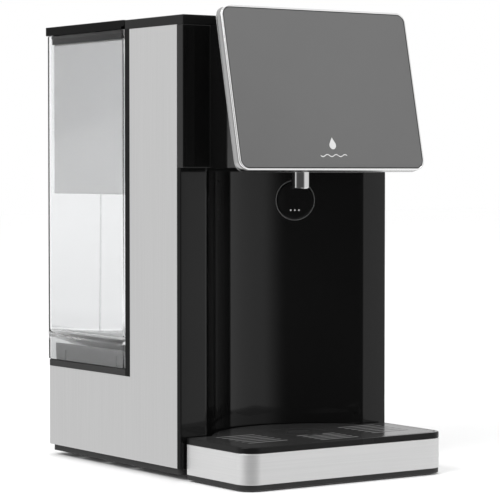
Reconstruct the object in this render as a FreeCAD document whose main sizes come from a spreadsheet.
import FreeCAD, Part

import math
import os

import Sketcher

# Countertop water dispenser: a column with a cup bay in front, a tilted display on its head,
# a drip tray, and a clear water tank that lifts off a pedestal behind the column.
# +X is to the right, +Y to the back and +Z up. The origin is on the table, under the middle
# of the whole object. Lengths are millimetres, angles are degrees.

Vector = FreeCAD.Vector
Rotation = FreeCAD.Rotation
Placement = FreeCAD.Placement

DIMENSIONS = {
    # Planes of the body, from the table up and from the front back.
    "half_width": 86.5,
    "base_low": 3.5,
    "base_top": 8,
    "ledge_low": 65.1,
    "ledge_top": 69.6,
    "pedestal_top": 83,
    "seam_height": 208.5,
    "steel_top": 303.6,
    "cover_top": 310,
    "fascia_front": -58.5,
    "panel_front": -55.05,
    "steel_front": -50.9,
    "strip_front": 8.7,
    "column_back": 14.7,
    "body_back": 123,
    "sheet_steel": 0.8,
    "moulding": 2.5,
    "body_corner": 5,
    "steel_return": 6,
    "base_inset": 2.5,
    "base_corner": 5,
    # Feet and screws.
    "foot_radius": 8,
    "foot_side": 58,
    "foot_front": -22,
    "foot_back": 98,
    "screw_radius": 1.6,
    "screw_head": 3,
    "screw_length": 8,
    "post_side": 76,
    "post_half": 5,
    "post_top": 24,
    "vent_half": 1.5,
    # Concave recess of the cup bay, an upright cylinder.
    "recess_radius": 79.4,
    "recess_middle": -100,
    "pillar_round": 2,
    # Head and display. The display is drawn lying flat and then tilted.
    "head_half": 65,
    "head_front": -78.5,
    "window_half": 55,
    "window_low": 216,
    "window_high": 296,
    "glass_half": 74.4,
    "glass_half_slope": 53,
    "glass_corner": 6,
    "glass_depth": 2,
    "glass_y": -99.55,
    "glass_z": 261.2,
    "display_rim": 2.3,
    "display_depth": 7,
    "display_tilt": 12.34,
    "board_depth": 1.2,
    "ribbon_side": 36,
    "ribbon_height": 290,
    "ribbon_depth": 0.8,
    # Spout and outlet chamber.
    "spout_y": -71.2,
    "spout_low": 194.5,
    "spout_radius": 6.2,
    "nozzle_radius": 4.8,
    "chamber_half": 20,
    "chamber_low": 224,
    "chamber_high": 260,
    "chamber_inlet": 248,
    # Reset key on the recess wall.
    "reset_turn": 21,
    "reset_height": 186,
    "key_radius": 13.2,
    "key_gap": 0.25,
    "ring_wall": 0.75,
    "key_travel": 1.5,
    # Water path.
    "nipple_radius": 4,
    "bore_radius": 2.5,
    "hose_wall": 1.5,
    "hose_bend": 8,
    "tight_bend": 6,
    "heater_x": -45,
    "heater_y": -8.5,
    "heater_radius": 14,
    "heater_low": 60,
    "heater_high": 198,
    "cap_height": 12,
    "flow_x": -14,
    "flow_y": 30,
    "flow_z": 30,
    "flow_radius": 14,
    "flow_half": 7,
    "flow_offset": 6,
    "pump_x": 22,
    "pump_y": 3,
    "pump_radius": 16,
    "pump_head_length": 12,
    "motor_radius": 14,
    "motor_length": 34,
    "shaft_radius": 1.5,
    "pivot_radius": 0.8,
    "running_gap": 0.06,
    "power_low": 90,
    "power_high": 165,
    "power_y": 6,
    # Tank, its valve and hopper.
    "tank_half": 86,
    "tank_front": 15.3,
    "tank_back": 125.2,
    "tank_wall": 2.4,
    "tank_corner": 5,
    "tank_low": 70,
    "tank_floor": 86.5,
    "tank_rim": 304,
    "pedestal_half": 81.5,
    "pedestal_corner": 7,
    "rib_top": 78.4,
    "rib_half": 0.5,
    "rib_proud": 0.8,
    "pedestal_front": 19.5,
    "pedestal_back": 119.5,
    "valve_y": 61.5,
    "valve_low": 74,
    "valve_radius": 11,
    "valve_seat": 92,
    "valve_top": 110,
    "stem_radius": 2,
    "plunger_gap": 0.3,
    "hopper_half": 82.4,
    "hopper_front": 18.6,
    "hopper_back": 119.6,
    "hopper_low": 190,
    "hopper_high": 296,
    "hopper_wall": 1.4,
    "cartridge_radius": 24,
    # Lid and its hinge.
    "lid_low": 304.3,
    "lid_high": 310.3,
    "lid_back": 126.5,
    "hinge_y": 17.2,
    "hinge_z": 308.1,
    "nose_radius": 2.2,
    "pin_radius": 1,
    "pin_half": 46,
    "ear_inner": 36,
    "ear_outer": 42,
    "skirt_low": 297,
    # Drip tray and grid.
    "tray_half": 82.85,
    "tray_front": -126.5,
    "tray_back": -57.2,
    "tray_corner": 12,
    "tray_low": 1,
    "band_low": 4.5,
    "band_high": 24.7,
    "band_sheet": 0.6,
    "tray_wall": 2.4,
    "lobe_gap": 3,
    "grid_low": 25,
    "grid_top": 29,
    "grid_plate": 2.2,
    "cup_spot_y": -70,
    # Rear cover and cord inlet.
    "cord_x": -58,
    "cord_z": 24,
    "cord_radius": 3.6,
    "gland_radius": 6,
    "cover_depth": 2.8,
    "cover_screw_side": 75,
    "cover_screw_low": 14,
    "cover_screw_high": 57,
}

doc = FreeCAD.newDocument("WaterDispenser")
sheet = doc.addObject("Spreadsheet::Sheet", "Dims")
for row, (alias, number) in enumerate(DIMENSIONS.items(), start=1):
    sheet.set(f"A{row}", alias)
    sheet.set(f"B{row}", str(number))
    sheet.setAlias(f"B{row}", alias)
doc.recompute()


class Size:
    """A number together with the sheet expression that gives it."""

    def __init__(self, value, text):
        self.value = value
        self.text = text

    def __add__(self, other):
        other = as_size(other)
        return Size(self.value + other.value, f"({self.text} + {other.text})")

    def __sub__(self, other):
        other = as_size(other)
        return Size(self.value - other.value, f"({self.text} - {other.text})")

    def __mul__(self, factor):
        return Size(self.value * factor, f"({self.text} * {factor})")

    def __truediv__(self, divisor):
        return Size(self.value / divisor, f"({self.text} / {divisor})")

    def __neg__(self):
        return Size(-self.value, f"(0 - {self.text})")


def as_size(item):
    """A Size as it is, or a plain number as a Size."""
    return item if isinstance(item, Size) else Size(item, f"({item})")


class Dimensions:
    """The sheet's cells as Size values, read by their aliases."""

    def __getattr__(self, alias):
        return Size(float(sheet.get(alias)), f"Dims.{alias}")


d = Dimensions()
nodes = {}


def bind(item, prop, size):
    item.setExpression(prop, as_size(size).text)


def both(half):
    """The range from -half to half."""
    return -as_size(half), as_size(half)


def about(middle, half):
    """The range of a half length each side of a middle."""
    return as_size(middle) - half, as_size(middle) + half


def sided(side, inner, outer):
    """The range from inner to outer on the right (side 1), or its mirror image (side -1)."""
    inner = as_size(inner)
    outer = as_size(outer)
    return (inner, outer) if side > 0 else (-outer, -inner)


def node(label, item):
    """Names a finished sub-part."""
    item.Label = label
    nodes[label] = item
    return item


def box(x, y, z):
    """A box over three ranges."""
    block = doc.addObject("Part::Box", "Block")
    for prop, axis, (low, high) in (("Length", "x", x), ("Width", "y", y), ("Height", "z", z)):
        bind(block, prop, as_size(high) - low)
        bind(block, f"Placement.Base.{axis}", low)
    return block


ALONG = {
    "X": Rotation(Vector(0, 1, 0), 90),
    "Y": Rotation(Vector(1, 0, 0), -90),
    "Z": Rotation(),
}


def rod(axis, centre, span, radius):
    """A cylinder along an axis over a range, centred on the other two axes in X, Y, Z order."""
    cylinder = doc.addObject("Part::Cylinder", "Rod")
    cylinder.Placement = Placement(Vector(), ALONG[axis])
    place = list(centre)
    place.insert("XYZ".index(axis), span[0])
    for name, position in zip("xyz", place):
        bind(cylinder, f"Placement.Base.{name}", position)
    bind(cylinder, "Radius", radius)
    bind(cylinder, "Height", as_size(span[1]) - span[0])
    return cylinder


def fused(*items):
    if len(items) == 1:
        return items[0]
    joined = doc.addObject("Part::MultiFuse", "Joined")
    joined.Shapes = list(items)
    return joined


def cut(base, *tools):
    result = doc.addObject("Part::Cut", "Cut")
    result.Base = base
    result.Tool = fused(*tools)
    return result


def common(first, second):
    result = doc.addObject("Part::Common", "Shared")
    result.Base = first
    result.Tool = second
    return result


def group(*items):
    """Separate solids that share a node."""
    result = doc.addObject("Part::Compound", "Group")
    result.Links = list(items)
    return result


def rounded_upright(item, front, radius):
    """Rounds the upright edges that lie in the plane Y = front, except where they end the panel."""
    doc.recompute()
    rounded = doc.addObject("Part::Fillet", "Rounded")
    rounded.Base = item
    edges = []
    for index, edge in enumerate(item.Shape.Edges, start=1):
        limits = edge.BoundBox
        upright = limits.XLength < 0.01 and limits.YLength < 0.01
        if upright and abs(limits.YMin - front.value) < 0.01 and abs(limits.XMin) < d.tray_half.value:
            edges.append((index, radius.value, radius.value))
    rounded.Edges = edges
    return rounded


def tube(axis, centre, span, outer, inner):
    return cut(rod(axis, centre, span, outer), rod(axis, centre, span, inner))


def new_sketch(body, role):
    """A sketch on one of the body's own origin planes."""
    sketch = body.newObject("Sketcher::SketchObject", "Sketch")
    plane = next(item for item in body.Origin.OriginFeatures if item.Role == role)
    sketch.AttachmentSupport = [(plane, "")]
    sketch.MapMode = "FlatFace"
    return sketch


def constrain(sketch, name, size, kind, *where):
    """A named dimension of a sketch, bound to the sheet."""
    index = sketch.addConstraint(Sketcher.Constraint(kind, *where, as_size(size).value))
    sketch.renameConstraint(index, name)
    bind(sketch, f"Constraints.{name}", size)


def pad(body, sketch, height):
    feature = body.newObject("PartDesign::Pad", "Pad")
    feature.Profile = sketch
    bind(feature, "Length", height)
    return feature


def slab(x, y, z, radius):
    """A plate with rounded upright corners over three ranges: a padded sketch."""
    half_x = (as_size(x[1]) - x[0]) / 2
    half_y = (as_size(y[1]) - y[0]) / 2
    radius = as_size(radius)
    body = doc.addObject("PartDesign::Body", "Plate")
    sketch = new_sketch(body, "XY_Plane")
    end_x = half_x.value - radius.value
    end_y = half_y.value - radius.value
    quarter = math.pi / 2
    corners = ((end_x, end_y), (-end_x, end_y), (-end_x, -end_y), (end_x, -end_y))
    for turn, (cx, cy) in enumerate(corners):
        circle = Part.Circle(Vector(cx, cy), Vector(0, 0, 1), radius.value)
        sketch.addGeometry(Part.ArcOfCircle(circle, turn * quarter, (turn + 1) * quarter))
    for turn in range(4):
        start = sketch.Geometry[turn].EndPoint
        end = sketch.Geometry[(turn + 1) % 4].StartPoint
        sketch.addGeometry(Part.LineSegment(start, end))
    for turn in range(4):
        side = 4 + turn
        sketch.addConstraint(Sketcher.Constraint("Tangent", turn, 2, side, 1))
        sketch.addConstraint(Sketcher.Constraint("Tangent", side, 2, (turn + 1) % 4, 1))
        sketch.addConstraint(Sketcher.Constraint("Vertical" if turn % 2 else "Horizontal", side))
        if turn:
            sketch.addConstraint(Sketcher.Constraint("Equal", 0, turn))
    constrain(sketch, "corner", radius, "Radius", 0)
    constrain(sketch, "right", half_x, "DistanceX", -1, 1, 7, 1)
    constrain(sketch, "left", half_x, "DistanceX", 5, 1, -1, 1)
    constrain(sketch, "back", half_y, "DistanceY", -1, 1, 4, 1)
    constrain(sketch, "front", half_y, "DistanceY", 6, 1, -1, 1)
    pad(body, sketch, as_size(z[1]) - z[0])
    bind(body, "Placement.Base.x", (as_size(x[0]) + x[1]) / 2)
    bind(body, "Placement.Base.y", (as_size(y[0]) + y[1]) / 2)
    bind(body, "Placement.Base.z", z[0])
    return body


def revolved(place, profile):
    """A solid turned about an upright axis at place. The profile is (radius, height) points."""
    body = doc.addObject("PartDesign::Body", "Turned")
    sketch = new_sketch(body, "XZ_Plane")
    profile = [(as_size(across), as_size(up)) for across, up in profile]
    for start, end in zip(profile, profile[1:] + profile[:1]):
        ends = [Vector(across.value, up.value) for across, up in (start, end)]
        sketch.addGeometry(Part.LineSegment(*ends))
    for index, (across, up) in enumerate(profile):
        following = (index + 1) % len(profile)
        sketch.addConstraint(Sketcher.Constraint("Coincident", index, 2, following, 1))
        if across.value:
            constrain(sketch, f"across{index}", across, "DistanceX", -1, 1, index, 1)
        else:
            sketch.addConstraint(Sketcher.Constraint("PointOnObject", index, 1, -2))
        if up.value:
            constrain(sketch, f"up{index}", up, "DistanceY", -1, 1, index, 1)
        else:
            sketch.addConstraint(Sketcher.Constraint("PointOnObject", index, 1, -1))
    feature = body.newObject("PartDesign::Revolution", "Revolution")
    feature.Profile = sketch
    feature.ReferenceAxis = (sketch, ["V_Axis"])
    feature.Angle = 360
    for name, position in zip("xyz", place):
        bind(body, f"Placement.Base.{name}", position)
    return body


def paddle_wheel(hub_radius, hub_height, reach, blade, count):
    """A hub with evenly spaced upright blades: two pads and a polar pattern."""
    body = doc.addObject("PartDesign::Body", "Wheel")
    hub = new_sketch(body, "XY_Plane")
    hub.addGeometry(Part.Circle(Vector(), Vector(0, 0, 1), hub_radius.value))
    hub.addConstraint(Sketcher.Constraint("Coincident", 0, 3, -1, 1))
    constrain(hub, "hub", hub_radius, "Radius", 0)
    pad(body, hub, hub_height)
    arm = new_sketch(body, "XY_Plane")
    inner = hub_radius / 2
    half = blade / 2
    left, right, top = inner.value, reach.value, half.value
    points = [Vector(left, -top), Vector(right, -top), Vector(right, top), Vector(left, top)]
    for start, end in zip(points, points[1:] + points[:1]):
        arm.addGeometry(Part.LineSegment(start, end))
    for index in range(4):
        arm.addConstraint(Sketcher.Constraint("Coincident", index, 2, (index + 1) % 4, 1))
        level = "Vertical" if index % 2 else "Horizontal"
        arm.addConstraint(Sketcher.Constraint(level, index))
    constrain(arm, "inner", inner, "DistanceX", -1, 1, 0, 1)
    constrain(arm, "reach", reach, "DistanceX", -1, 1, 0, 2)
    constrain(arm, "low", half, "DistanceY", 0, 1, -1, 1)
    constrain(arm, "high", half, "DistanceY", -1, 1, 2, 1)
    blades = pad(body, arm, hub_height)
    pattern = body.newObject("PartDesign::PolarPattern", "Blades")
    pattern.Originals = [blades]
    pattern.Axis = (arm, ["N_Axis"])
    pattern.Occurrences = count
    body.Tip = pattern
    return body


def tilted(item):
    """Moves a display piece from its flat drawing to its tilted place on the head."""
    holder = group(item)
    holder.Placement = Placement(Vector(), Rotation(Vector(1, 0, 0), 90 - d.display_tilt.value))
    bind(holder, "Placement.Base.y", d.glass_y)
    bind(holder, "Placement.Base.z", d.glass_z)
    return holder


def on_recess(item):
    """Moves a reset piece, drawn along +Y from the recess axis, to its place on the wall."""
    holder = group(item)
    holder.Placement = Placement(Vector(), Rotation(Vector(0, 0, 1), -d.reset_turn.value))
    bind(holder, "Placement.Base.y", d.recess_middle)
    bind(holder, "Placement.Base.z", d.reset_height)
    return holder


def recess(radius, z):
    """The upright cylinder that the cup bay's wall follows."""
    return rod("Z", (0, d.recess_middle), z, radius)


def hose(label, points, bend):
    """A hose along straight runs joined by tangent arcs."""
    corners = [Vector(*(as_size(part).value for part in point)) for point in points]
    edges = []
    start = corners[0]
    for before, corner, after in zip(corners, corners[1:], corners[2:]):
        arrive = (corner - before).normalize()
        leave = (after - corner).normalize()
        half_turn = arrive.getAngle(leave) / 2
        setback = bend.value * math.tan(half_turn)
        middle = corner + (leave - arrive).normalize() * (bend.value / math.cos(half_turn) - bend.value)
        arc = Part.Arc(corner - arrive * setback, middle, corner + leave * setback)
        edges += [Part.LineSegment(start, arc.StartPoint).toShape(), arc.toShape()]
        start = arc.EndPoint
    edges.append(Part.LineSegment(start, corners[-1]).toShape())
    path = Part.Wire(edges)
    heading = corners[1] - corners[0]
    outer = d.nipple_radius.value + d.hose_wall.value
    solids = []
    for radius in (outer, d.nipple_radius.value):
        ring = Part.Wire([Part.makeCircle(radius, corners[0], heading)])
        solids.append(path.makePipeShell([ring], True, False))
    feature = doc.addObject("Part::Feature", "Hose")
    feature.Shape = solids[0].cut(solids[1])
    return node(label, feature)


def coil_spring(label, place, radius, wire, low, high, turns):
    """A round-wire compression spring between two heights."""
    inset = wire / 2
    height = (high - low).value - wire
    helix = Part.makeHelix(height / turns, height, radius)
    section = Part.Wire([Part.makeCircle(inset, Vector(radius, 0, 0), Vector(0, 1, 0))])
    feature = doc.addObject("Part::Feature", "Spring")
    feature.Shape = Part.Wire(helix.Edges).makePipeShell([section], True, True)
    feature.Placement = Placement(Vector(0, place.value, low.value + inset), Rotation())
    return node(label, feature)


# ---------------------------------------------------------------- base and column


def base():
    floor = (d.base_low, d.base_top)
    plate = slab(both(d.half_width - d.base_inset), (d.steel_front - 1.6, d.body_back - d.base_inset),
                 floor, d.base_corner)
    vents = [box(about(0, 30), about(row, d.vent_half), floor) for row in range(50, 83, 8)]
    posts = [(side, y) for side in both(d.post_side) for y in (18, 55, 90)]
    holes = [rod("Z", post, floor, d.screw_radius) for post in posts]
    node("base_plate", cut(plate, recess(d.recess_radius + d.moulding, floor), *vents, *holes))
    feet = []
    for side in (-1, 1):
        for y in (d.foot_front, d.foot_back):
            feet.append(rod("Z", (d.foot_side * side, y), (0, d.base_low), d.foot_radius))
    node("base_feet", group(*feet))
    screws = []
    for post in posts:
        head = rod("Z", post, (d.base_low - 1.6, d.base_low), d.screw_head)
        shank = rod("Z", post, (d.base_low - 1, d.base_low + d.screw_length), d.screw_radius)
        screws.append(fused(head, shank))
    return posts, screws


def column(posts):
    outer = d.half_width - d.sheet_steel
    inner = outer - d.moulding
    upright = (d.base_top, d.steel_top)
    above_ledge = (d.ledge_low, d.steel_top)
    cover_front = d.body_back - d.cover_depth
    parts = [box(both(outer), (d.column_back - 3, d.column_back), above_ledge)]
    for side in (-1, 1):
        wall = sided(side, inner, outer)
        boss = sided(side, d.post_side - d.post_half, inner)
        parts.append(box(wall, (d.steel_front, d.column_back), upright))
        parts.append(box(wall, (d.column_back, d.body_back - d.body_corner), (d.base_top, d.ledge_low)))
        parts.append(box(sided(side, inner, d.half_width), (d.strip_front, d.column_back), above_ledge))
        for level in (d.cover_screw_low, d.cover_screw_high):
            parts.append(box(boss, (cover_front - d.screw_length, cover_front), about(level, d.post_half)))
    for x, y in posts:
        side = math.copysign(1, x.value)
        boss = sided(side, d.post_side - d.post_half, inner)
        parts.append(box(boss, about(y, d.post_half), (d.base_top, d.post_top)))
    for x in (24, 72):
        for z in (d.power_low + 6, d.power_high - 6):
            parts.append(rod("Y", (x, z), (d.power_y + 1.6, d.column_back - 3), 3))
    shell = fused(*parts)
    holes = [rod("Z", post, (d.base_top, d.base_top + d.screw_length), d.screw_radius) for post in posts]
    for spot in cover_screws():
        holes.append(rod("Y", spot, (cover_front - d.screw_length, cover_front), d.screw_radius))
    node("column_shell", cut(shell, *holes))
    lower = (d.base_top, d.ledge_low)
    wrap = cut(slab(both(d.half_width), (d.strip_front - 20, d.body_back), lower, d.body_corner),
               slab(both(outer), (d.strip_front - 30, d.body_back - d.sheet_steel), lower,
                    d.body_corner - d.sheet_steel))
    for side, label in ((-1, "left_side_panel"), (1, "right_side_panel")):
        tall = box(sided(side, outer, d.half_width), (d.steel_front, d.strip_front), upright)
        edge = sided(side, d.half_width - d.steel_return, d.half_width)
        low = common(wrap, box(edge, (d.strip_front, d.body_back), lower))
        node(label, fused(tall, low))


def cover_screws():
    """Where the rear cover's screws are, in X and Z."""
    return [(side, level) for side in both(d.cover_screw_side)
            for level in (d.cover_screw_low, d.cover_screw_high)]


def front():
    height = (d.base_top, d.seam_height)
    ceiling = (d.seam_height - d.moulding, d.seam_height)
    behind = (d.panel_front, 0)
    wall = box(both(d.half_width), (d.panel_front, d.panel_front + d.moulding), height)
    curve = common(recess(d.recess_radius + d.moulding, height), box(both(d.half_width), behind, height))
    returns = []
    for side in (-1, 1):
        edge = sided(side, d.half_width - d.moulding, d.half_width)
        returns.append(box(edge, (d.panel_front, d.steel_front), height))
    hollow = recess(d.recess_radius, (0, ceiling[0]))
    ring_radius = d.key_radius + d.key_gap + d.ring_wall
    key_hole = on_recess(rod("Y", (0, 0), (d.recess_radius - 6, d.recess_radius + 6), ring_radius))
    panel = cut(fused(wall, curve, *returns), hollow)
    node("front_panel", cut(rounded_upright(panel, d.panel_front, d.pillar_round), key_hole))
    cover = box(both(d.half_width), (d.fascia_front, d.column_back), (d.steel_top, d.cover_top))
    below = box(both(d.half_width - d.moulding), (d.fascia_front + d.moulding, d.column_back - d.moulding),
                (d.steel_top, d.cover_top - d.moulding))
    node("top_cover", cut(cover, below))


def reset_key():
    surface = d.recess_radius
    bay = rod("Z", (0, 0), (-30, 30), surface)
    disc = rod("Y", (0, 0), (surface - 5, surface + 3), d.key_radius)
    flange = rod("Y", (0, 0), (surface + 3, surface + 4.4), d.key_radius + 2)
    stem = rod("Y", (0, 0), (surface + 4, surface + 14), 3)
    node("reset_button", on_recess(cut(fused(disc, flange, stem), bay)))
    inner = d.key_radius + d.key_gap
    ring = tube("Y", (0, 0), (surface - 5, surface + 1.8), inner + d.ring_wall, inner)
    proud_bay = rod("Z", (0, 0), (-30, 30), surface - 0.15)
    node("reset_ring", on_recess(cut(ring, proud_bay)))
    switch_front = surface + 14 + d.key_travel + 0.2
    actuator = rod("Y", (0, 0), (switch_front, switch_front + 2), 1.7)
    case = box(both(6), (switch_front + 2, switch_front + 6), both(6))
    node("reset_switch", on_recess(fused(actuator, case)))
    plate_front = switch_front + 6
    plate = box(both(19), (plate_front, plate_front + 2), both(14))
    legs = [box(sided(side, 15.5, 19), (surface - 2, plate_front), both(5)) for side in (-1, 1)]
    panel_back = rod("Z", (0, 0), (-30, 30), surface + d.moulding)
    node("reset_bracket", on_recess(cut(fused(plate, *legs), panel_back)))


# ---------------------------------------------------------------- head and display


def head():
    height = (d.seam_height, d.steel_top)
    fascia = box(both(d.half_width), (d.fascia_front, d.fascia_front + d.moulding), height)
    returns = []
    for side in (-1, 1):
        edge = sided(side, d.half_width - d.moulding, d.half_width)
        returns.append(box(edge, (d.fascia_front, d.steel_front), height))
    block = box(both(d.head_half), (d.head_front, d.fascia_front), height)
    room = box(both(d.head_half - d.moulding), (d.head_front, d.fascia_front),
               (d.seam_height, d.steel_top - d.moulding))
    window = box(both(d.window_half), (d.fascia_front, d.fascia_front + d.moulding),
                 (d.window_low, d.window_high))
    node("head_housing", cut(fused(fascia, block, *returns), room, window))
    floor = (d.seam_height, d.seam_height + d.moulding)
    cover = box(both(d.head_half - d.moulding), (d.head_front, d.fascia_front), floor)
    node("head_bottom", cut(cover, rod("Z", (0, d.spout_y), floor, d.spout_radius + 0.1)))


def display():
    back = -d.display_depth
    pane_x = both(d.glass_half)
    pane_y = both(d.glass_half_slope)
    node("display_glass", tilted(slab(pane_x, pane_y, (-d.glass_depth, 0), d.glass_corner)))
    rim = slab(both(d.glass_half + d.display_rim), both(d.glass_half_slope + d.display_rim),
               (back, 0), d.glass_corner + d.display_rim)
    opening = slab(pane_x, pane_y, (back, 0), d.glass_corner)
    node("display_frame", tilted(cut(rim, opening)))
    board_back = -d.glass_depth - 0.7 - d.board_depth
    board = slab(both(d.glass_half - 6), both(d.glass_half_slope - 6),
                 (board_back, board_back + d.board_depth), 3)
    node("display_board", tilted(board))
    pan = tilted(slab(both(d.glass_half - 0.1), both(d.glass_half_slope - 0.1), (back, back + 2),
                      d.glass_corner))
    wedge = cut(box(both(d.head_half), (-125, d.head_front), (d.seam_height, d.steel_top)),
                tilted(box(both(100), both(100), (back, 60))))
    shell = d.moulding
    room = cut(box(both(d.head_half - shell), (-125, d.head_front),
                   (d.seam_height + shell, d.steel_top - shell)),
               tilted(box(both(100), both(100), (back - shell, 60))))
    slot = box(about(d.ribbon_side, 8), (-100, d.head_front), about(d.ribbon_height, 1.2))
    node("display_back", cut(fused(pan, wedge), room, slot))
    ribbon_x = about(d.ribbon_side, 6)
    level = about(d.ribbon_height, d.ribbon_depth / 2)
    drop_front = d.power_y - 6
    flat = box(ribbon_x, (d.glass_y + 11, drop_front), level)
    drop = box(ribbon_x, (drop_front, drop_front + d.ribbon_depth),
               (d.power_high + 4, d.ribbon_height + d.ribbon_depth / 2))
    plug = box(about(d.ribbon_side, 7), (drop_front - 2, drop_front + 3),
               (d.power_high - 6, d.power_high + 4))
    node("display_ribbon", fused(flat, drop, plug))


def outlet():
    centre = (0, d.spout_y)
    node("spout_sleeve", revolved((0, d.spout_y, d.spout_low), (
        (d.spout_radius - 1, 0),
        (d.spout_radius, 0),
        (d.spout_radius, d.seam_height + d.moulding - d.spout_low),
        (d.spout_radius + 2, d.seam_height + d.moulding - d.spout_low),
        (d.spout_radius + 2, d.seam_height + d.moulding + 1.6 - d.spout_low),
        (d.spout_radius - 1, d.seam_height + d.moulding + 1.6 - d.spout_low))))
    node("spout_nozzle", tube("Z", centre, (d.spout_low + 1.5, d.chamber_low), d.nozzle_radius, 3))
    shell = slab(both(d.chamber_half), (d.head_front + 1.5, d.fascia_front - 1.5),
                 (d.chamber_low, d.chamber_high), 4)
    nipple = rod("Y", (0, d.chamber_inlet), (d.fascia_front - 3, d.fascia_front + 10), d.nipple_radius)
    room = slab(both(d.chamber_half - 2), (d.head_front + 3.5, d.fascia_front - 3.5),
                (d.chamber_low + 2, d.chamber_high - 2), 2)
    inlet = rod("Y", (0, d.chamber_inlet), (d.fascia_front - 4, d.fascia_front + 10), d.bore_radius)
    drain = rod("Z", centre, (d.chamber_low, d.chamber_low + 3), 3)
    node("outlet_chamber", cut(fused(shell, nipple), room, inlet, drain))


# ---------------------------------------------------------------- water path


def heater():
    place = (d.heater_x, d.heater_y)
    core_low = d.heater_low + d.cap_height / 2
    core_high = d.heater_high - d.cap_height / 2
    node("heater_body", tube("Z", place, (core_low, core_high), d.heater_radius, d.heater_radius - 3))
    cap_radius = d.heater_radius + 1
    face = d.heater_x + d.heater_radius
    nipple_reach = d.heater_x + cap_radius + 8
    caps = []
    for low, high in ((d.heater_low, d.heater_low + d.cap_height),
                      (d.heater_high - d.cap_height, d.heater_high)):
        caps.append(cut(rod("Z", place, (low, high), cap_radius),
                        rod("Z", place, (core_low, core_high), d.heater_radius)))
    side_level = d.heater_low + 5
    side = rod("X", (d.heater_y, side_level), (face + 0.2, nipple_reach), d.nipple_radius)
    side_bore = rod("X", (d.heater_y, side_level), (d.heater_x, nipple_reach), d.bore_radius)
    well = rod("Z", place, (side_level - d.bore_radius, core_low), d.heater_radius - 4)
    top = rod("Z", place, (d.heater_high - 1, d.heater_high + 12), d.nipple_radius)
    top_bore = rod("Z", place, (core_high, d.heater_high + 12), d.bore_radius)
    inlet_cap = cut(fused(caps[0], side), side_bore, well)
    outlet_cap = cut(fused(caps[1], top), top_bore)
    node("heater_caps", group(inlet_cap, outlet_cap))
    strap = (130, 142)
    arm = box(about(d.heater_x, 6), (d.heater_y + d.heater_radius, d.column_back - 3), strap)
    ring = tube("Z", place, strap, d.heater_radius + 2, d.heater_radius)
    node("heater_bracket", cut(fused(ring, arm), rod("Z", place, strap, d.heater_radius)))
    sensors = [rod("Z", (d.heater_x + 9, d.heater_y), (d.heater_high, d.heater_high + 9), 2)]
    for level in (100, 165):
        sensors.append(rod("X", (d.heater_y, level), (face, face + 6), 6))
    node("heater_sensors", group(*sensors))
    return side_level, nipple_reach


def flow_meter():
    centre = (d.flow_x, d.flow_y)
    low = d.flow_z - d.flow_half
    high = d.flow_z + d.flow_half
    line = (d.flow_x + d.flow_offset, d.flow_z)
    inlet = (d.flow_y + 8, d.flow_y + 24)
    outlet = (d.flow_y - 19, d.flow_y - 8)
    shell = rod("Z", centre, (low, high), d.flow_radius)
    nipples = [rod("Y", line, span, d.nipple_radius) for span in (inlet, outlet)]
    bores = [rod("Y", line, span, d.bore_radius) for span in (inlet, outlet)]
    room = rod("Z", centre, (low + 2, high), d.flow_radius - 2.5)
    hole = rod("Z", centre, (low + 1, low + 2), d.pivot_radius + d.running_gap)
    node("flow_meter_body", cut(fused(shell, *nipples), room, hole, *bores))
    lid = rod("Z", centre, (high, high + 2), d.flow_radius)
    sensor = box(about(d.flow_x, 5), about(d.flow_y, 4), (high + 2, high + 6))
    node("flow_meter_cap", cut(fused(lid, sensor), rod("Z", centre, (high, high + 1.2),
                                                       d.pivot_radius + d.running_gap)))
    wheel = paddle_wheel(as_size(3), as_size(8), d.flow_radius - 4, as_size(1.4), 6)
    for name, position in zip("xyz", (d.flow_x, d.flow_y, d.flow_z - 4)):
        bind(wheel, f"Placement.Base.{name}", position)
    pivot = rod("Z", centre, (low + 1.2, high + 1), d.pivot_radius)
    node("flow_turbine", fused(wheel, pivot))


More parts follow.
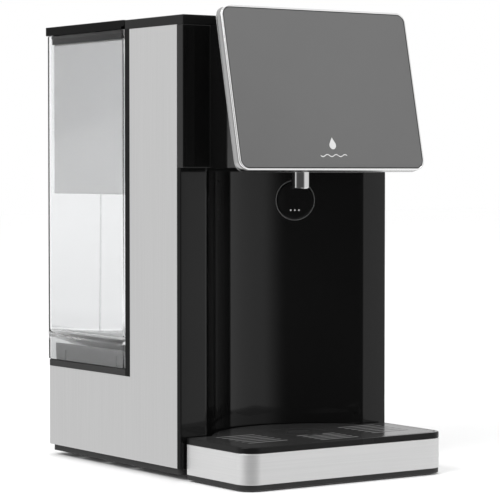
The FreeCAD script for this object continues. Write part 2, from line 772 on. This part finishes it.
def pump():
    axis = (d.pump_y, d.flow_z)
    back = d.pump_x + d.pump_head_length
    outlet = (d.pump_x + 6, d.pump_y)
    shell = rod("X", axis, (d.pump_x, back), d.pump_radius)
    inlet = rod("X", axis, (d.pump_x - 13, d.pump_x + 1), d.nipple_radius)
    riser = rod("Z", outlet, (d.flow_z + d.pump_radius - 2, d.flow_z + d.pump_radius + 9), d.nipple_radius)
    room = rod("X", axis, (d.pump_x + 2, back - 1.5), d.pump_radius - 3)
    eye = rod("X", axis, (d.pump_x - 13, d.pump_x + 3), d.bore_radius)
    lift = rod("Z", outlet, (d.flow_z, d.flow_z + d.pump_radius + 9), d.bore_radius)
    shaft_hole = rod("X", axis, (back - 2, back), d.shaft_radius + d.running_gap)
    node("pump_head", cut(fused(shell, inlet, riser), room, eye, lift, shaft_hole))
    can = rod("X", axis, (back, back + d.motor_length), d.motor_radius)
    boss = rod("X", axis, (back + d.motor_length, back + d.motor_length + 3), 5)
    tags = [box((back + d.motor_length, back + d.motor_length + 5), about(d.pump_y, 2),
                about(d.flow_z + side * 9, 0.4)) for side in (-1, 1)]
    bearing = rod("X", axis, (back, back + 16), d.shaft_radius + d.running_gap)
    node("pump_motor", cut(fused(can, boss, *tags), bearing))
    wheel = paddle_wheel(as_size(4.5), as_size(5), d.pump_radius - 4.5, as_size(1.6), 7)
    wheel.Placement = Placement(Vector(), ALONG["X"])
    for name, position in zip("xyz", (d.pump_x + 4, d.pump_y, d.flow_z)):
        bind(wheel, f"Placement.Base.{name}", position)
    shaft = rod("X", axis, (d.pump_x + 4, back + 15), d.shaft_radius)
    node("pump_impeller", fused(wheel, shaft))
    cradle_x = about(back + d.motor_length / 2, 8)
    foot = (d.base_top + 3, d.base_top + 5)
    cradle = cut(box(cradle_x, about(d.pump_y, 12), (foot[0], d.flow_z - 8)),
                 rod("X", axis, (back, back + d.motor_length), d.motor_radius))
    plate = box(about(back + d.motor_length / 2, 17), about(d.pump_y, 16), foot)
    node("pump_bracket", fused(plate, cradle))
    mounts = []
    for side_x in (-13, 13):
        for side_y in (-12, 12):
            spot = (back + d.motor_length / 2 + side_x, d.pump_y + side_y)
            mounts.append(rod("Z", spot, (d.base_top, foot[0]), 3.5))
    node("pump_mounts", group(*mounts))
    return outlet


def hoses(side_level, nipple_reach, outlet):
    drop_x = d.flow_x + d.flow_offset
    fit = 10
    socket_low = d.ledge_low - 13
    meter_in = d.flow_y + 24
    meter_out = d.flow_y - 19
    pump_in = d.pump_x - 13
    riser_top = d.flow_z + d.pump_radius + 9
    heater_out = d.heater_high + 12
    chamber_in = d.fascia_front + 10
    hose("tank_hose", ((drop_x, d.valve_y, socket_low + fit), (drop_x, d.valve_y, d.flow_z),
                       (drop_x, meter_in - fit, d.flow_z)), d.tight_bend)
    hose("pump_hose", ((drop_x, meter_out + 5, d.flow_z), (drop_x, d.pump_y, d.flow_z),
                       (pump_in + fit, d.pump_y, d.flow_z)), d.tight_bend)
    hose("heater_hose", ((*outlet, riser_top - 6), (*outlet, side_level + 2), (0, d.heater_y, side_level),
                         (nipple_reach - 7, d.heater_y, side_level)), d.hose_bend)
    hose("outlet_hose", ((d.heater_x, d.heater_y, heater_out - fit),
                         (d.heater_x, d.heater_y, d.chamber_inlet), (0, d.heater_y - 12, d.chamber_inlet),
                         (0, chamber_in - fit, d.chamber_inlet)), d.hose_bend)
    ring = d.nipple_radius + d.hose_wall
    clamps = []
    for axis, centre, level in (
            ("Z", (drop_x, d.valve_y), socket_low + 5),
            ("Y", (drop_x, d.flow_z), meter_in - 5),
            ("Y", (drop_x, d.flow_z), meter_out + 3),
            ("X", (d.pump_y, d.flow_z), pump_in + 4),
            ("Z", outlet, riser_top - 4),
            ("X", (d.heater_y, side_level), nipple_reach - 4),
            ("Z", (d.heater_x, d.heater_y), heater_out - 5),
            ("Y", (0, d.chamber_inlet), chamber_in - 5)):
        clamps.append(tube(axis, centre, about(level, 1.5), ring + 0.8, ring))
    node("hose_clamps", group(*clamps))


def electrics():
    board = box((18, 78), (d.power_y, d.power_y + 1.6), (d.power_low, d.power_high))
    node("power_board", board)
    node("power_relay", box((52, 70), (d.power_y - 15, d.power_y), (112, 128)))
    fins = [box((26, 44), (d.power_y - 14, d.power_y - 2), about(level, 0.7)) for level in range(98, 119, 5)]
    plate = box((26, 44), (d.power_y - 2.4, d.power_y), (96, 120))
    node("heat_sink", fused(plate, *fins))
    inner = d.body_back - d.cover_depth
    block = box(about(d.cord_x, 12), (inner - 42, inner - 28), (d.base_top, d.base_top + 14))
    wells = [rod("Z", (d.cord_x + shift, inner - 35), (d.base_top + 6, d.base_top + 14), 2.5)
             for shift in (-8, 0, 8)]
    node("mains_terminal", cut(block, *wells))


def rear(base_screws):
    side = d.half_width - d.steel_return - 0.2
    cover_front = d.body_back - d.cover_depth
    depth = (cover_front, d.body_back)
    plate = box(both(side), depth, (d.base_top, d.ledge_low))
    vents = []
    for step in range(9):
        vents.append(box(about(8 + step * 6.5, d.vent_half), depth, (22, 52)))
    gland_hole = rod("Y", (d.cord_x, d.cord_z), depth, d.gland_radius)
    holes = [rod("Y", spot, depth, d.screw_radius) for spot in cover_screws()]
    node("rear_cover", cut(plate, gland_hole, *vents, *holes))
    screws = list(base_screws)
    for spot in cover_screws():
        head_part = rod("Y", spot, (d.body_back, d.body_back + 1.2), d.screw_head)
        shank = rod("Y", spot, (cover_front - d.screw_length + 1, d.body_back + 0.5), d.screw_radius)
        screws.append(fused(head_part, shank))
    node("case_screws", group(*screws))
    collar = rod("Y", (d.cord_x, d.cord_z), (d.body_back, d.body_back + 2.5), d.gland_radius + 2)
    neck = rod("Y", (d.cord_x, d.cord_z), (d.body_back - 10, d.body_back + 1), d.gland_radius)
    nut = rod("Y", (d.cord_x, d.cord_z), (d.body_back - 7.5, cover_front), d.gland_radius + 2)
    passage = rod("Y", (d.cord_x, d.cord_z), (d.body_back - 10, d.body_back + 2.5), d.cord_radius)
    node("cord_gland", cut(fused(collar, neck, nut), passage))


# ---------------------------------------------------------------- tank


def platform():
    centre = (0, d.valve_y)
    level = (d.ledge_low, d.ledge_top)
    ledge_front = box(both(d.half_width), (d.column_back, d.body_back - 30), level)
    ledge_back = slab(both(d.half_width), (d.body_back - 60, d.body_back), level, d.body_corner)
    ledge = fused(ledge_front, ledge_back)
    pedestal = slab(both(d.pedestal_half), (d.pedestal_front, d.pedestal_back),
                    (d.ledge_low, d.pedestal_top), d.pedestal_corner)
    ribs = []
    for side in (-1, 1):
        rib_x = sided(side, d.pedestal_half - 1, d.pedestal_half + d.rib_proud)
        for y in (d.pedestal_front + 13, d.pedestal_back - 17):
            ribs.append(box(rib_x, about(y, d.rib_half), (d.ledge_low, d.rib_top)))
    wall = d.moulding
    hollow = slab(both(d.pedestal_half - wall), (d.pedestal_front + wall, d.pedestal_back - wall),
                  (d.ledge_low, d.pedestal_top - wall), d.pedestal_corner - wall)
    boss = rod("Z", centre, (d.ledge_low, d.pedestal_top), d.valve_radius + 6)
    drain = (d.flow_x + d.flow_offset, d.valve_y)
    nipple = rod("Z", drain, (d.ledge_low - 13, d.ledge_low + 1), d.nipple_radius)
    seal_low = d.valve_low + 2
    socket = rod("Z", centre, (d.valve_low - 3, d.pedestal_top), d.valve_radius + 1.5)
    mouth = rod("Z", centre, (seal_low, d.pedestal_top), d.valve_radius + 3)
    bore = rod("Z", drain, (d.ledge_low - 13, d.valve_low - 2), d.bore_radius)
    pin = rod("Z", centre, (d.valve_low - 4, d.valve_low + 0.2), 2.5)
    hollowed = fused(cut(fused(ledge, pedestal, *ribs), hollow), boss, nipple)
    node("tank_platform", fused(cut(hollowed, socket, mouth, bore), pin))
    seal = tube("Z", centre, (seal_low, seal_low + 3), d.valve_radius + 3, d.valve_radius + 0.3)
    node("socket_seal", seal)


def tank():
    centre = (0, d.valve_y)
    wall = d.tank_wall
    floor_top = d.tank_floor + 3.5
    outer = slab(both(d.tank_half), (d.tank_front, d.tank_back), (d.tank_low, d.tank_rim), d.tank_corner)
    inside = (both(d.tank_half - wall), (d.tank_front + wall, d.tank_back - wall))
    room = slab(*inside, (floor_top, d.tank_rim), d.tank_corner - wall)
    skirt = slab(*inside, (d.tank_low, d.tank_floor), d.tank_corner - wall)
    hole = rod("Z", centre, (d.tank_floor, floor_top), d.valve_radius)
    ears = []
    for side in (-1, 1):
        ear_x = sided(side, d.ear_inner, d.ear_outer)
        ears.append(rod("X", (d.hinge_y, d.hinge_z), ear_x, 1.9))
        ears.append(box(ear_x, about(d.hinge_y, 1.9), (d.tank_rim - 4, d.hinge_z)))
    ledges = []
    for middle in (-40, 40):
        ledges.append(box(about(middle, 5), (d.tank_front + 1, d.tank_front + wall + 3),
                          (d.hopper_low - 3, d.hopper_low)))
        ledges.append(box(about(middle, 5), (d.tank_back - wall - 3, d.tank_back - 1),
                          (d.hopper_low - 3, d.hopper_low)))
    pin_hole = rod("X", (d.hinge_y, d.hinge_z), both(d.pin_half), d.pin_radius)
    node("tank_body", cut(fused(cut(outer, room, skirt, hole), *ears, *ledges), pin_hole))
    node("hinge_pin", rod("X", (d.hinge_y, d.hinge_z), both(d.pin_half), d.pin_radius))
    hopper_x = both(d.hopper_half)
    hopper_y = (d.hopper_front, d.hopper_back)
    bin_wall = d.hopper_wall
    bin_outer = slab(hopper_x, hopper_y, (d.hopper_low, d.hopper_high), 4)
    bin_room = slab(both(d.hopper_half - bin_wall), (d.hopper_front + bin_wall, d.hopper_back - bin_wall),
                    (d.hopper_low + bin_wall, d.hopper_high), 2.6)
    seat = rod("Z", centre, (d.hopper_low, d.hopper_low + bin_wall), d.cartridge_radius)
    node("filter_hopper", cut(bin_outer, bin_room, seat))


def valve():
    centre = (0, d.valve_y)
    seat = d.valve_seat
    barrel = tube("Z", centre, (d.valve_low, seat), d.valve_radius, d.valve_radius - 2.5)
    flange = tube("Z", centre, (d.tank_floor + 3.5, seat + 2), d.valve_radius + 4, 5)
    cage = tube("Z", centre, (seat + 2, d.valve_top), d.valve_radius, d.valve_radius - 1.6)
    roof = rod("Z", centre, (d.valve_top - 2, d.valve_top), d.valve_radius)
    windows = [box(both(d.valve_radius + 1), about(d.valve_y, 6), (seat + 3, d.valve_top - 3)),
               box(both(6), about(d.valve_y, d.valve_radius + 1), (seat + 3, d.valve_top - 3))]
    guide = rod("Z", centre, (d.valve_top - 2, d.valve_top), d.stem_radius + d.running_gap)
    node("tank_valve", cut(fused(barrel, flange, cage, roof), guide, *windows))
    stem = rod("Z", centre, (d.valve_low + 0.2 + d.plunger_gap, d.valve_top + 1), d.stem_radius)
    head_part = rod("Z", centre, (seat + 4.2, seat + 6), 7)
    node("valve_plunger", fused(stem, head_part))
    node("valve_seal", tube("Z", centre, (seat + 3, seat + 4.2), 6.6, d.stem_radius))
    coil_spring("valve_spring", d.valve_y, 4, 0.8, seat + 6, d.valve_top - 2, 5)


def lid():
    start = d.hinge_y + 2.3
    plate = box(both(d.half_width), (start, d.lid_back - 3), (d.lid_low, d.lid_high))
    tail = slab(both(d.half_width), (d.lid_back - 30, d.lid_back), (d.lid_low, d.lid_high), 5)
    neck = box(both(d.half_width), (d.hinge_y, start), (d.hinge_z - d.nose_radius, d.lid_high))
    nose = rod("X", (d.hinge_y, d.hinge_z), both(d.half_width), d.nose_radius)
    skirt_x = both(d.tank_half - d.tank_wall - 0.6)
    skirt_y = (d.tank_front + d.tank_wall + 2.5, d.tank_back - d.tank_wall - 1.5)
    skirt = slab(skirt_x, skirt_y, (d.skirt_low, d.lid_low + 1), 4)
    room = slab(both(d.tank_half - d.tank_wall - 2.4), (skirt_y[0] + 1.8, skirt_y[1] - 1.8),
                (d.skirt_low, d.lid_high - 2.4), 2.5)
    notches = []
    for side in (-1, 1):
        ear_x = sided(side, d.ear_inner - 0.4, d.ear_outer + 0.4)
        notches.append(box(ear_x, (d.tank_front - 1, d.hinge_y + 2.6), (d.lid_low, d.lid_high)))
    solid = cut(fused(plate, tail, neck, nose, skirt), room, *notches)
    pin_bore = rod("X", (d.hinge_y, d.hinge_z), both(d.pin_half), d.pin_radius + d.running_gap)
    node("tank_lid", cut(solid, pin_bore))
    seal_z = (d.lid_low - 3, d.lid_low - 0.6)
    outer = slab(both(d.tank_half - d.tank_wall - 0.35), (skirt_y[0] - 0.4, skirt_y[1] + 0.7), seal_z, 4.4)
    inner = slab(skirt_x, skirt_y, seal_z, 4)
    node("lid_seal", cut(outer, inner))


# ---------------------------------------------------------------- drip tray


def tray_plan(inset, z):
    """The tray's outline, set in all round: rounded front corners, and a lobe that fills the recess."""
    half = d.tray_half - inset
    back = d.tray_back - inset
    front_part = slab(both(half), (d.tray_front + inset, back), z, d.tray_corner - inset)
    back_part = box(both(half), (d.tray_front + 30, back), z)
    lobe = common(recess(d.recess_radius - d.lobe_gap - inset, z),
                  box(both(half), (d.tray_front + 40, 0), z))
    return fused(front_part, back_part, lobe)


def tray():
    band_z = (d.band_low, d.band_high)
    behind = box(both(100), (d.tray_back - 2, 0), band_z)
    node("tray_band", cut(tray_plan(as_size(0), band_z), tray_plan(d.band_sheet, band_z), behind))
    feet = []
    for side in (-1, 1):
        for y in (-112, -68):
            feet.append(rod("Z", (side * 66, y), (0, d.tray_low + 1), 5))
    foot_strip = tray_plan(as_size(0.3), (d.tray_low, d.band_low))
    wall = tray_plan(d.band_sheet, (d.tray_low, d.band_high))
    basin = tray_plan(d.tray_wall + d.band_sheet, (d.tray_low + 3, d.band_high))
    node("drip_tray", cut(fused(foot_strip, wall, *feet), basin))


def slot_groups():
    """Centre, half length and row places of the grid's three groups of slots."""
    rear_rows = [d.fascia_front - step for step in (8, 15.5, 23, 30.5, 38, 45.5)]
    front_rows = [d.fascia_front - step for step in (31, 37.5, 44, 50.5, 57)]
    return (-50, 16, rear_rows), (52, 16, rear_rows), (0, 16, front_rows)


def grid():
    plate_low = d.grid_top - d.grid_plate
    full = tray_plan(as_size(0), (d.grid_low, d.grid_top))
    under = tray_plan(as_size(2.4), (d.grid_low, plate_low))
    cuts = [rod("Z", (0, d.cup_spot_y), (plate_low, d.grid_top), 9)]
    for middle, half, rows in slot_groups():
        for y in rows:
            cuts.append(slab(about(middle, half), about(y, 1.1), (plate_low, d.grid_top), 1))
    groove = tube("Z", (0, d.cup_spot_y), (d.grid_top - 0.5, d.grid_top), 19.6, 18.6)
    node("drip_grid", cut(full, under, groove, *cuts))


def build():
    posts, base_screws = base()
    column(posts)
    front()
    reset_key()
    head()
    display()
    outlet()
    side_level, nipple_reach = heater()
    flow_meter()
    hoses(side_level, nipple_reach, pump())
    electrics()
    rear(base_screws)
    platform()
    tank()
    valve()
    lid()
    tray()
    grid()
    doc.recompute()


def export():
    """Checks every object, then writes each sub-part to its own file."""
    for item in doc.Objects:
        if "Invalid" in item.State or "Error" in item.State:
            raise RuntimeError(f"{item.Label} failed to recompute")
    for label, item in nodes.items():
        if item.Shape.isNull() or not item.Shape.isValid() or not item.Shape.Solids:
            raise RuntimeError(f"{label} has no valid solid")
    os.makedirs("parts", exist_ok=True)
    for label, item in nodes.items():
        item.Shape.exportStep(f"parts/{label}.step")


build()
export()
